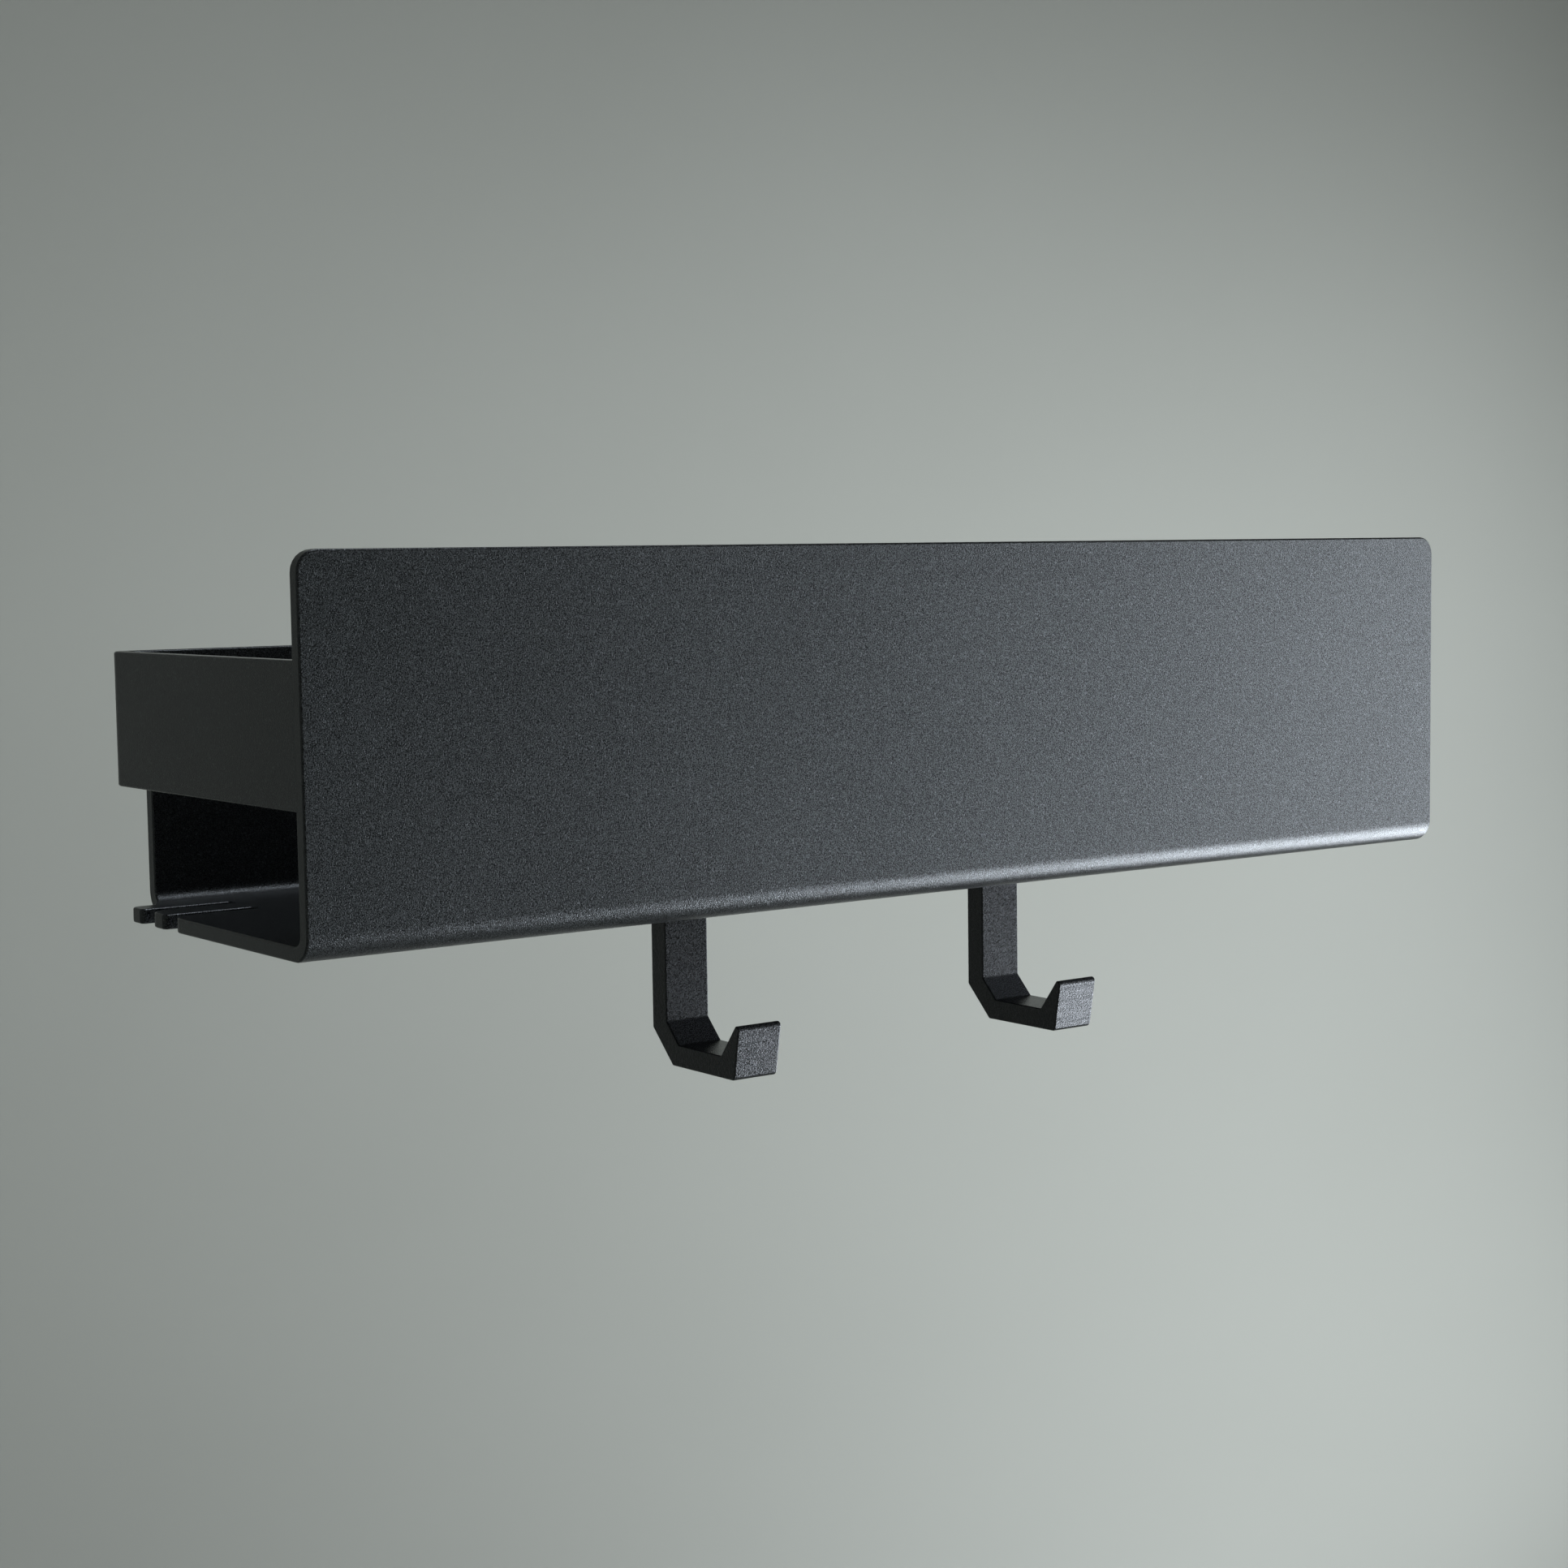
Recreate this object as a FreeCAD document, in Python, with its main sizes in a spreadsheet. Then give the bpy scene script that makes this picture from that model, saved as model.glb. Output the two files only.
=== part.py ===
import FreeCAD, Part
import math
import os
import Sketcher

# Wall shelf of a hair styling station.
# One folded metal plate makes the tall front panel, the floor, the back plate and the two end
# wings that are folded forward from the back plate and welded to the front panel. Cord slots are
# cut into both ends of the floor, and two solid faceted hooks are bolted under it.
#
# Frame, in millimetres: the origin is on the wall, midway between the two wall holes. X runs
# along the shelf, Y points into the wall and Z is up. Sketches measure their heights from the
# underside of the floor, and every body is then lowered by the height of the wall holes.

DRIVING_SIZES = [
    # the folded plate
    ("shelf_length", 400.0, "outside length along X"),
    ("shelf_depth", 115.5, "wall to front face"),
    ("panel_height", 98.0, "height of the front panel"),
    ("back_height", 72.0, "height of the back plate and of the wings' top edge"),
    ("wing_bottom", 36.0, "height of the wings' lower edge"),
    ("plate", 4.0, "thickness of the plate"),
    ("bend_inside", 3.0, "inside radius of every bend"),
    ("bend_relief", 3.0, "from the end of a wing's bend to the side of the lower back plate"),
    ("side_flare", 3.1, "how far the lower back plate's side slants out towards the last finger"),
    ("relief_height", 1.0, "height of the relief cut under a wing's bend"),
    ("relief_reach", 2.0, "how far the relief cut runs into the back plate"),
    ("panel_corner", 5.5, "radius of the front panel's upper corners"),
    # the cord slots in the ends of the floor
    ("slot_width", 4.0, "width of a cord slot"),
    ("slot_length", 25.0, "depth of a cord slot from the end of the floor"),
    ("slot_setback", 20.0, "wall to the centre of the rear slot"),
    ("slot_pitch", 14.6, "between the centres of the two slots"),
    ("lead_in", 5.5, "radius on the front side of a slot's mouth"),
    ("finger_corner", 1.5, "radius on the rear side of a slot's mouth"),
    ("finger_gap", 10.5, "wall to the rear edge of the last finger"),
    ("finger_tail", 2.5, "radius on the rear corner of the last finger"),
    # the wall holes
    ("wall_hole", 6.0, "diameter of a wall screw's hole"),
    ("wall_hole_spacing", 300.0, "between the two wall holes"),
    ("wall_hole_height", 54.0, "height of the wall holes"),
    # the hooks
    ("hook_width", 14.5, "width of a hook along X"),
    ("hook_spacing", 117.0, "between the centres of the two hooks"),
    ("hook_setback", 49.5, "front face to the front of a hook's upright"),
    ("upright", 7.0, "thickness of a hook's upright"),
    ("hook_drop", 47.3, "underside of the floor to the underside of a hook"),
    ("hook_bar", 6.1, "thickness of a hook's lower bar"),
    ("heel_outside", 9.7, "leg of the slanted heel, outside"),
    ("heel_inside", 6.0, "leg of the slanted heel, inside"),
    ("hook_reach", 32.6, "front of the upright to the foot of the lip"),
    ("lip_height", 15.2, "height of the lip above the hook's underside"),
    ("lip_lean", 2.5, "how far the lip leans forward"),
    ("lip_top", 1.8, "thickness of the lip's upper edge"),
    ("lip_root", 6.3, "thickness of the lip where it meets the bar"),
    ("lip_break", 0.8, "chamfer under the lip's foot"),
    ("foot_length", 24.0, "length of the mounting foot behind the upright"),
    ("foot_plate", 4.0, "thickness of the mounting foot"),
    # the hook fasteners, M4
    ("screw_first", 7.5, "rear of the upright to the first screw"),
    ("screw_pitch", 11.0, "between the two screws of a hook"),
    ("thread", 4.0, "screw diameter"),
    ("thread_gap", 0.05, "play between a screw and its nut, on the radius"),
    ("hole_gap", 0.25, "play between a screw and its hole, on the radius"),
    ("head", 8.0, "diameter of the countersunk head"),
    ("head_sink", 0.2, "how far the head sits below the floor's surface"),
    ("socket", 2.5, "hexagon socket, across flats"),
    ("socket_depth", 1.5, "depth of the hexagon socket"),
    ("washer_width", 9.0, "outside diameter of a washer"),
    ("washer_plate", 0.8, "thickness of a washer"),
    ("nut_flats", 7.0, "nut, across flats"),
    ("nut_height", 3.2, "height of a nut"),
    ("thread_tail", 1.0, "thread that stands out below the nut"),
]

# Sizes that follow from the driving ones.
DERIVED_SIZES = [
    ("half_length", "shelf_length / 2"),
    ("bend_outside", "bend_inside + plate"),
    ("panel_back", "shelf_depth - plate"),
    ("back_inset", "bend_outside + bend_relief"),
    ("back_half", "half_length - back_inset"),
    ("flare_half", "back_half + side_flare"),
    ("relief_end", "back_half - relief_reach"),
    ("relief_bottom", "wing_bottom - relief_height"),
    ("wing_inner", "half_length - plate"),
    ("wing_height", "back_height - wing_bottom"),
    ("slot_side", "slot_width / 2"),
    ("slot_end", "half_length - slot_length"),
    ("rear_slot", "slot_setback"),
    ("rear_slot_rear", "rear_slot - slot_side"),
    ("rear_slot_front", "rear_slot + slot_side"),
    ("front_slot", "slot_setback + slot_pitch"),
    ("front_slot_rear", "front_slot - slot_side"),
    ("front_slot_front", "front_slot + slot_side"),
    ("hook_half", "hook_spacing / 2"),
    ("upright_front", "shelf_depth - hook_setback"),
    ("upright_rear", "upright_front - upright"),
    ("foot_rear", "upright_rear - foot_length"),
    ("bar_top", "hook_drop - hook_bar"),
    ("heel_rear_high", "hook_drop - heel_outside"),
    ("heel_rear_low", "upright_rear + heel_outside"),
    ("heel_front_high", "bar_top - heel_inside"),
    ("heel_front_low", "upright_front + heel_inside"),
    ("lip_foot", "upright_front + hook_reach"),
    ("lip_front", "lip_foot + lip_lean"),
    ("lip_back", "lip_front - lip_top"),
    ("lip_upper", "hook_drop - lip_height"),
    ("lip_inner", "lip_foot - lip_root"),
    ("lip_break_depth", "lip_foot - lip_break"),
    ("lip_break_height", "hook_drop - lip_break"),
    ("front_screw", "upright_rear - screw_first"),
    ("rear_screw", "front_screw - screw_pitch"),
    ("hole_radius", "thread / 2 + hole_gap"),
    ("sink_radius", "head / 2 + head_sink"),
    ("sink_leg", "sink_radius - hole_radius"),
    ("thread_radius", "thread / 2"),
    ("head_radius", "head / 2"),
    ("head_level", "plate - head_sink"),
    ("head_bottom", "head_level - head_radius + thread_radius"),
    ("nut_top", "foot_plate + washer_plate"),
    ("nut_bottom", "nut_top + nut_height"),
    ("screw_bottom", "nut_bottom + thread_tail"),
    ("socket_radius", "socket / 2 / cos(30)"),
    ("nut_radius", "nut_flats / 2 / cos(30)"),
    ("washer_radius", "washer_width / 2"),
    ("nut_bore", "thread_radius + thread_gap"),
    ("wall_hole_radius", "wall_hole / 2"),
    ("wall_hole_half", "wall_hole_spacing / 2"),
]

# How closely an edge is matched when it is looked up by its place, in millimetres.
TOLERANCE = 0.01
# A hexagon's sides, the turn between two of them and a full turn, in degrees.
HEX_SIDES = 6
FULL_TURN = 360
HEX_STEP = FULL_TURN / HEX_SIDES

doc = FreeCAD.newDocument("StylingShelf")
sheet = doc.addObject("Spreadsheet::Sheet", "Sizes")
for row, (name, number, note) in enumerate(DRIVING_SIZES, start=1):
    sheet.set("A%d" % row, name)
    sheet.set("B%d" % row, str(number))
    sheet.setAlias("B%d" % row, name)
    sheet.set("C%d" % row, note)
for row, (name, formula) in enumerate(DERIVED_SIZES, start=len(DRIVING_SIZES) + 1):
    sheet.set("A%d" % row, name)
    sheet.set("B%d" % row, "=" + formula)
    sheet.setAlias("B%d" % row, name)
doc.recompute()


def size(name):
    """The number behind a name of the sheet, with a leading minus sign allowed."""
    if name == "0":
        return 0.0
    if name.startswith("-"):
        return -float(sheet.get(name[1:]))
    return float(sheet.get(name))


def formula(name):
    """The same name written as an expression that a constraint can be bound to."""
    if name == "0":
        return "0"
    if name.startswith("-"):
        return "-Sizes." + name[1:]
    return "Sizes." + name


def new_body(name):
    body = doc.addObject("PartDesign::Body", name)
    body.Label = name
    return body


def new_sketch(body, role, name, offset=None):
    """A sketch on one origin plane of its body, raised along the plane's normal by a sheet size."""
    sketch = body.newObject("Sketcher::SketchObject", name)
    plane = [item for item in body.Origin.OriginFeatures if item.Role == role][0]
    sketch.AttachmentSupport = [(plane, "")]
    sketch.MapMode = "FlatFace"
    if offset:
        sketch.setExpression("AttachmentOffset.Base.z", formula(offset))
    return sketch


def pin_point(sketch, geometry, vertex, across, up):
    """Fix one vertex at two sheet sizes measured from the sketch's origin."""
    for kind, name in (("DistanceX", across), ("DistanceY", up)):
        if name == "0":
            axis = -2 if kind == "DistanceX" else -1
            sketch.addConstraint(Sketcher.Constraint("PointOnObject", geometry, vertex, axis))
        else:
            where = Sketcher.Constraint(kind, -1, 1, geometry, vertex, size(name))
            index = sketch.addConstraint(where)
            sketch.setExpression("Constraints[%d]" % index, formula(name))


def add_outline(sketch, corners):
    """A closed polygon through corners given as pairs of sheet names."""
    first = sketch.GeometryCount
    points = [FreeCAD.Vector(size(across), size(up), 0) for across, up in corners]
    for here, there in zip(points, points[1:] + points[:1]):
        sketch.addGeometry(Part.LineSegment(here, there), False)
    for step in range(len(corners)):
        follower = first + (step + 1) % len(corners)
        sketch.addConstraint(Sketcher.Constraint("Coincident", first + step, 2, follower, 1))
    for step, (across, up) in enumerate(corners):
        pin_point(sketch, first + step, 1, across, up)


def add_circle(sketch, across, up, radius):
    """A circle at a point and with a radius given as sheet names."""
    centre = FreeCAD.Vector(size(across), size(up), 0)
    circle = Part.Circle(centre, FreeCAD.Vector(0, 0, 1), size(radius))
    index = sketch.addGeometry(circle, False)
    pin_point(sketch, index, 3, across, up)
    limit = sketch.addConstraint(Sketcher.Constraint("Radius", index, size(radius)))
    sketch.setExpression("Constraints[%d]" % limit, formula(radius))


def add_hexagon(sketch, radius):
    """A regular hexagon about the sketch's origin, with two corners on its vertical axis."""
    reach = size(radius)
    turns = [math.radians(HEX_STEP * (step + 0.5)) for step in range(HEX_SIDES)]
    points = [FreeCAD.Vector(reach * math.cos(turn), reach * math.sin(turn), 0) for turn in turns]
    ring = sketch.addGeometry(Part.Circle(FreeCAD.Vector(), FreeCAD.Vector(0, 0, 1), reach), True)
    sketch.addConstraint(Sketcher.Constraint("Coincident", ring, 3, -1, 1))
    limit = sketch.addConstraint(Sketcher.Constraint("Radius", ring, reach))
    sketch.setExpression("Constraints[%d]" % limit, formula(radius))
    first = sketch.GeometryCount
    for here, there in zip(points, points[1:] + points[:1]):
        sketch.addGeometry(Part.LineSegment(here, there), False)
    for step in range(HEX_SIDES):
        follower = first + (step + 1) % HEX_SIDES
        sketch.addConstraint(Sketcher.Constraint("Coincident", first + step, 2, follower, 1))
        sketch.addConstraint(Sketcher.Constraint("PointOnObject", first + step, 1, ring))
    for step in range(HEX_SIDES - 1):
        sketch.addConstraint(Sketcher.Constraint("Equal", first + step, first + step + 1))
    sketch.addConstraint(Sketcher.Constraint("PointOnObject", first + 1, 1, -2))


def add_pad(body, sketch, name, length, symmetric=False):
    """Grow a sketch into a solid along its normal by a sheet size."""
    pad = body.newObject("PartDesign::Pad", name)
    pad.Profile = sketch
    pad.setExpression("Length", formula(length))
    if symmetric:
        pad.SideType = "Symmetric"
    doc.recompute()
    return pad


def add_cut(body, sketch, name, length, reverse=False):
    """Cut a sketch out of its body, against its normal or along it, as deep as a sheet size."""
    before = body.Shape.Volume
    pocket = body.newObject("PartDesign::Pocket", name)
    pocket.Profile = sketch
    pocket.Reversed = reverse
    pocket.setExpression("Length", formula(length))
    doc.recompute()
    if body.Shape.Volume >= before:
        raise RuntimeError(name + " removes nothing")
    return pocket


def edge_names(shape, direction, spots):
    """Names of the edges that run along a direction and pass through one of the given spots.

    A spot is a point with None in the coordinate that the edge runs along or may vary in.
    """
    found = []
    for number, edge in enumerate(shape.Edges, start=1):
        if edge.Curve.TypeId != "Part::GeomLine":
            continue
        if abs(abs(edge.Curve.Direction.dot(direction)) - 1) > TOLERANCE:
            continue
        middle = edge.CenterOfMass
        for spot in spots:
            away = [abs(have - want) for have, want in zip(middle, spot) if want is not None]
            if max(away) < TOLERANCE:
                found.append("Edge%d" % number)
                break
    return found


def add_fillet(body, name, radius, names):
    """Round the named edges of the body's last feature to a sheet radius."""
    base = body.Tip
    fillet = body.newObject("PartDesign::Fillet", name)
    fillet.Base = (base, names)
    fillet.setExpression("Radius", formula(radius))
    doc.recompute()
    return fillet


def rim_names(shape, radius, height):
    """Names of the full circles of a radius that lie at a height."""
    found = []
    for number, edge in enumerate(shape.Edges, start=1):
        if edge.Curve.TypeId != "Part::GeomCircle" or not edge.isClosed():
            continue
        level = abs(edge.Curve.Center.z - height) < TOLERANCE
        if level and abs(edge.Curve.Radius - radius) < TOLERANCE:
            found.append("Edge%d" % number)
    return found


def add_chamfer(body, name, leg, names):
    """Bevel the named edges of the body's last feature by a sheet size."""
    base = body.Tip
    chamfer = body.newObject("PartDesign::Chamfer", name)
    chamfer.Base = (base, names)
    chamfer.setExpression("Size", formula(leg))
    doc.recompute()
    return chamfer


def place(body, across="0", depth="0"):
    """Put a body at its place in the frame, lowered by the height of the wall holes."""
    body.setExpression("Placement.Base.x", formula(across))
    body.setExpression("Placement.Base.y", formula(depth))
    body.setExpression("Placement.Base.z", formula("-wall_hole_height"))


ALONG_X = FreeCAD.Vector(1, 0, 0)
ALONG_Y = FreeCAD.Vector(0, 1, 0)
ALONG_Z = FreeCAD.Vector(0, 0, 1)
SIDES = (("", 1), ("-", -1))
SLOTS = ("rear_slot", "front_slot")
SCREWS = ("front_screw", "rear_screw")


def build_shelf_body():
    """The folded and welded plate: front panel, floor, back plate, end wings and cord slots."""
    body = new_body("shelf_body")

    section = new_sketch(body, "YZ_Plane", "section")
    add_outline(section, [
        ("-shelf_depth", "0"), ("0", "0"), ("0", "back_height"), ("-plate", "back_height"),
        ("-plate", "plate"), ("-panel_back", "plate"), ("-panel_back", "panel_height"),
        ("-shelf_depth", "panel_height"),
    ])
    add_pad(body, section, "folded_plate", "shelf_length", symmetric=True)

    # Long bends between the floor and its two upright plates.
    outer_bends = [(None, size("-shelf_depth"), 0), (None, 0, 0)]
    inner_bends = [(None, size("-panel_back"), size("plate")), (None, size("-plate"), size("plate"))]
    add_fillet(body, "bends_outside", "bend_outside", edge_names(body.Shape, ALONG_X, outer_bends))
    add_fillet(body, "bends_inside", "bend_inside", edge_names(body.Shape, ALONG_X, inner_bends))

    # Below the wings the back plate and its bend stop short of the ends.
    corners = new_sketch(body, "XY_Plane", "lower_corners", "wing_bottom")
    for sign, _ in SIDES:
        add_outline(corners, [
            (sign + "back_half", "0"), (sign + "half_length", "0"),
            (sign + "half_length", "-finger_gap"), (sign + "flare_half", "-finger_gap"),
            (sign + "back_half", "-plate"),
        ])
    add_cut(body, corners, "lower_corners_cut", "wing_bottom")

    # Wings, folded forward from the back plate and welded to the front panel.
    wings = new_sketch(body, "XY_Plane", "wings", "wing_bottom")
    for sign, _ in SIDES:
        add_outline(wings, [
            (sign + "wing_inner", "0"), (sign + "half_length", "0"),
            (sign + "half_length", "-panel_back"), (sign + "wing_inner", "-panel_back"),
        ])
    add_pad(body, wings, "wings_pad", "wing_height")
    ends = [(side * size("half_length"), 0, None) for _, side in SIDES]
    add_fillet(body, "wing_bends_outside", "bend_outside", edge_names(body.Shape, ALONG_Z, ends))
    nooks = [(side * size("wing_inner"), size("-plate"), None) for _, side in SIDES]
    add_fillet(body, "wing_bends_inside", "bend_inside", edge_names(body.Shape, ALONG_Z, nooks))

    # Relief cuts at the lower end of the wings' bends.
    reliefs = new_sketch(body, "XZ_Plane", "reliefs")
    for sign, _ in SIDES:
        add_outline(reliefs, [
            (sign + "relief_end", "relief_bottom"), (sign + "half_length", "relief_bottom"),
            (sign + "half_length", "wing_bottom"), (sign + "relief_end", "wing_bottom"),
        ])
    add_cut(body, reliefs, "reliefs_cut", "plate", reverse=True)

    # Cord slots: straight cuts, each with a wide radius on the front of its mouth.
    slots = new_sketch(body, "XY_Plane", "slots")
    for sign, _ in SIDES:
        for slot in SLOTS:
            add_outline(slots, [
                (sign + "slot_end", "-%s_rear" % slot), (sign + "half_length", "-%s_rear" % slot),
                (sign + "half_length", "-%s_front" % slot), (sign + "slot_end", "-%s_front" % slot),
            ])
    add_cut(body, slots, "slots_cut", "plate", reverse=True)
    ends = [side * size("half_length") for _, side in SIDES]
    mouths = [(end, size("-%s_front" % slot), None) for end in ends for slot in SLOTS]
    add_fillet(body, "lead_ins", "lead_in", edge_names(body.Shape, ALONG_Z, mouths))
    tips = [(end, size("-%s_rear" % slot), None) for end in ends for slot in SLOTS]
    add_fillet(body, "finger_corners", "finger_corner", edge_names(body.Shape, ALONG_Z, tips))
    tails = [(end, size("-finger_gap"), None) for end in ends]
    add_fillet(body, "finger_tails", "finger_tail", edge_names(body.Shape, ALONG_Z, tails))

    # Upper corners of the front panel.
    tops = [(end, None, size("panel_height")) for end in ends]
    add_fillet(body, "panel_corners", "panel_corner", edge_names(body.Shape, ALONG_Y, tops))

    # Holes for the wall screws, and countersunk holes for the hook screws.
    wall = new_sketch(body, "XZ_Plane", "wall_holes")
    for sign, _ in SIDES:
        add_circle(wall, sign + "wall_hole_half", "wall_hole_height", "wall_hole_radius")
    add_cut(body, wall, "wall_holes_cut", "plate", reverse=True)
    screws = new_sketch(body, "XY_Plane", "hook_screw_holes")
    for sign, _ in SIDES:
        for screw in SCREWS:
            add_circle(screws, sign + "hook_half", "-" + screw, "hole_radius")
    add_cut(body, screws, "hook_screw_holes_cut", "plate", reverse=True)
    rims = rim_names(body.Shape, size("hole_radius"), size("plate"))
    add_chamfer(body, "countersinks", "sink_leg", rims)
    return body


def build_hook(name, sign):
    """A solid faceted J with a wedge-shaped lip and a foot behind its upright."""
    body = new_body(name)
    section = new_sketch(body, "YZ_Plane", name + "_section")
    add_outline(section, [
        ("-upright_front", "0"), ("-upright_front", "-heel_front_high"),
        ("-heel_front_low", "-bar_top"), ("-lip_inner", "-bar_top"),
        ("-lip_back", "-lip_upper"), ("-lip_front", "-lip_upper"),
        ("-lip_foot", "-lip_break_height"), ("-lip_break_depth", "-hook_drop"),
        ("-heel_rear_low", "-hook_drop"), ("-upright_rear", "-heel_rear_high"),
        ("-upright_rear", "-foot_plate"), ("-foot_rear", "-foot_plate"), ("-foot_rear", "0"),
    ])
    add_pad(body, section, name + "_pad", "hook_width", symmetric=True)
    holes = new_sketch(body, "XY_Plane", name + "_holes")
    for screw in SCREWS:
        add_circle(holes, "0", "-" + screw, "hole_radius")
    add_cut(body, holes, name + "_holes_cut", "foot_plate")
    place(body, sign + "hook_half")
    return body


def build_screw(name, sign, line):
    """A countersunk screw with a hexagon socket, its thread drawn as a plain shank."""
    body = new_body(name)
    half = new_sketch(body, "XZ_Plane", name + "_half")
    add_outline(half, [
        ("0", "-screw_bottom"), ("thread_radius", "-screw_bottom"),
        ("thread_radius", "head_bottom"), ("head_radius", "head_level"), ("0", "head_level"),
    ])
    turn = body.newObject("PartDesign::Revolution", name + "_turn")
    turn.Profile = half
    turn.ReferenceAxis = (half, ["V_Axis"])
    turn.Angle = FULL_TURN
    doc.recompute()
    socket = new_sketch(body, "XY_Plane", name + "_socket", "head_level")
    add_hexagon(socket, "socket_radius")
    add_cut(body, socket, name + "_socket_cut", "socket_depth")
    place(body, sign + "hook_half", "-" + line)
    return body


def build_washer(name, sign, line):
    """A plain washer between the hook's foot and the nut."""
    body = new_body(name)
    ring = new_sketch(body, "XY_Plane", name + "_ring", "-nut_top")
    add_circle(ring, "0", "0", "washer_radius")
    add_circle(ring, "0", "0", "hole_radius")
    add_pad(body, ring, name + "_pad", "washer_plate")
    place(body, sign + "hook_half", "-" + line)
    return body


def build_nut(name, sign, line):
    """A hexagon nut, its thread drawn as a plain bore."""
    body = new_body(name)
    ring = new_sketch(body, "XY_Plane", name + "_ring", "-nut_bottom")
    add_hexagon(ring, "nut_radius")
    add_circle(ring, "0", "0", "nut_bore")
    add_pad(body, ring, name + "_pad", "nut_height")
    place(body, sign + "hook_half", "-" + line)
    return body


nodes = [build_shelf_body()]
place(nodes[0])
for side_name, sign in (("left", "-"), ("right", "")):
    hook_name = side_name + "_hook"
    nodes.append(build_hook(hook_name, sign))
    for line in SCREWS:
        fixing = "%s_%s" % (hook_name, line)
        nodes.append(build_screw(fixing, sign, line))
        nodes.append(build_washer(fixing + "_washer", sign, line))
        nodes.append(build_nut(fixing + "_nut", sign, line))
doc.recompute()

faults = [item.Name for item in doc.Objects if {"Invalid", "Error"} & set(item.State)]
faults += [node.Label for node in nodes if node.Shape.isNull() or not node.Shape.isValid()]
faults += [node.Label for node in nodes if len(node.Shape.Solids) != 1]
if faults:
    raise RuntimeError("faulty: " + ", ".join(faults))
os.makedirs("parts", exist_ok=True)
for node in nodes:
    node.Shape.exportStep("parts/%s.step" % node.Label)
    print(node.Label, round(node.Shape.Volume), "cubic mm")
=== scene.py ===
# %% [markdown]
# # A wall shelf for hair tools, made piece by piece
# One metal plate is folded into a tall front panel, a floor and a back plate. Two end wings are
# folded forward from the back plate. Two faceted hooks hang under the floor on small screws.
# The CAD model is loaded first: it fixes every size and place, and this lesson adds the finish
# that CAD leaves out: rounded cut edges, a textured black coat, threads and sockets.

# %% Load the CAD frame
import math

import bpy
import numpy as np
from mathutils import Matrix, Vector
from mathutils.geometry import delaunay_2d_cdt


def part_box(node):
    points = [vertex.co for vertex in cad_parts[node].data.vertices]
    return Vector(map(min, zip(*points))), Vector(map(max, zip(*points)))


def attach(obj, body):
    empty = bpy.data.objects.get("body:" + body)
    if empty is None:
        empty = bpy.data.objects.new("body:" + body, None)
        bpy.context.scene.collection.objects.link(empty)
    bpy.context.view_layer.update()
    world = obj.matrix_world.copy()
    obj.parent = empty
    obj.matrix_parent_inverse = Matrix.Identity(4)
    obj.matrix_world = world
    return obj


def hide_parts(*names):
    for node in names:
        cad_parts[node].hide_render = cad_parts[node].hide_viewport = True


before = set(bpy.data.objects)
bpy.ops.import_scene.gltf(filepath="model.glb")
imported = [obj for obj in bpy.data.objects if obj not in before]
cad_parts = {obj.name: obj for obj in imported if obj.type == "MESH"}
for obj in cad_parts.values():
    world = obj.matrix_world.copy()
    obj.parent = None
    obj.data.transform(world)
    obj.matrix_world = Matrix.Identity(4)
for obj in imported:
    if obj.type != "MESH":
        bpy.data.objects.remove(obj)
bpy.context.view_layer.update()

# %% [markdown]
# ## Sizes
# Everything below is worked out in millimetres, because that is how a metal worker thinks, and
# is turned into metres once, when a mesh is made. Heights are measured from the underside of the
# floor, so one lift takes them to the frame of the CAD model.

# %% Sizes of the folded plate, in millimetres
MM = 0.001
body_low, body_high = (np.array(corner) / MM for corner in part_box("shelf_body"))
LIFT = body_low[2]
LENGTH = body_high[0] - body_low[0]
DEPTH = -body_low[1]
PANEL_HEIGHT = body_high[2] - body_low[2]
HALF = LENGTH / 2
PLATE = 4.0
BEND_INSIDE = 3.0
BEND_OUTSIDE = BEND_INSIDE + PLATE
BACK_HEIGHT = 72.0
WING_BOTTOM = 36.0
CUT_EDGE = 0.6
print("shelf:", LENGTH.round(1), "x", DEPTH.round(1), "x", PANEL_HEIGHT.round(1), "mm")

# %% [markdown]
# ## Outlines with round corners
# A real cut sheet has no perfectly sharp corner. So an outline is a list of corners, each with
# a radius, and every corner becomes a short arc. Each point keeps its outward normal beside it:
# that normal later says which way an edge is rounded, and gives exact shading.

# %% Round an outline's corners
def unit(vectors):
    """Each vector divided by its own length."""
    return vectors / np.linalg.norm(vectors, axis=-1, keepdims=True)


def rounded(corners, steps=6, closed=True):
    """Rows of x, y, normal x, normal y along an outline whose corners are (x, y, radius).

    At each corner the edges are cut back by radius times the tangent of half the turn. The arc
    runs about the point that is one radius away from both edges, and its normal turns evenly
    from the normal of one edge to that of the next. The material is on the left of the path."""
    spots = np.array(corners, float)
    place, radius = spots[:, :2], spots[:, 2]
    after = np.roll(place, -1, 0) - place
    before = np.roll(after, 1, 0)
    if not closed:
        before[0], after[-1] = after[0], before[-1]
    before, after = unit(before), unit(after)
    cross = before[:, 0] * after[:, 1] - before[:, 1] * after[:, 0]
    turn = np.arctan2(cross, (before * after).sum(1))
    arm = (radius * np.sign(turn))[:, None]
    normal_before = np.stack([before[:, 1], -before[:, 0]], 1)
    centre = place - before * (radius * np.tan(abs(turn) / 2))[:, None] - normal_before * arm
    start = np.arctan2(normal_before[:, 1], normal_before[:, 0])
    angle = start[:, None] + turn[:, None] * np.linspace(0, 1, steps + 1)
    normal = np.stack([np.cos(angle), np.sin(angle)], 2)
    rows = np.concatenate([centre[:, None] + normal * arm[:, None], normal], 2).reshape(-1, 4)
    fresh = abs(rows - np.roll(rows, 1, 0)).max(1) > 1e-9
    if not closed:
        fresh[0] = True
    return rows[fresh]


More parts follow.
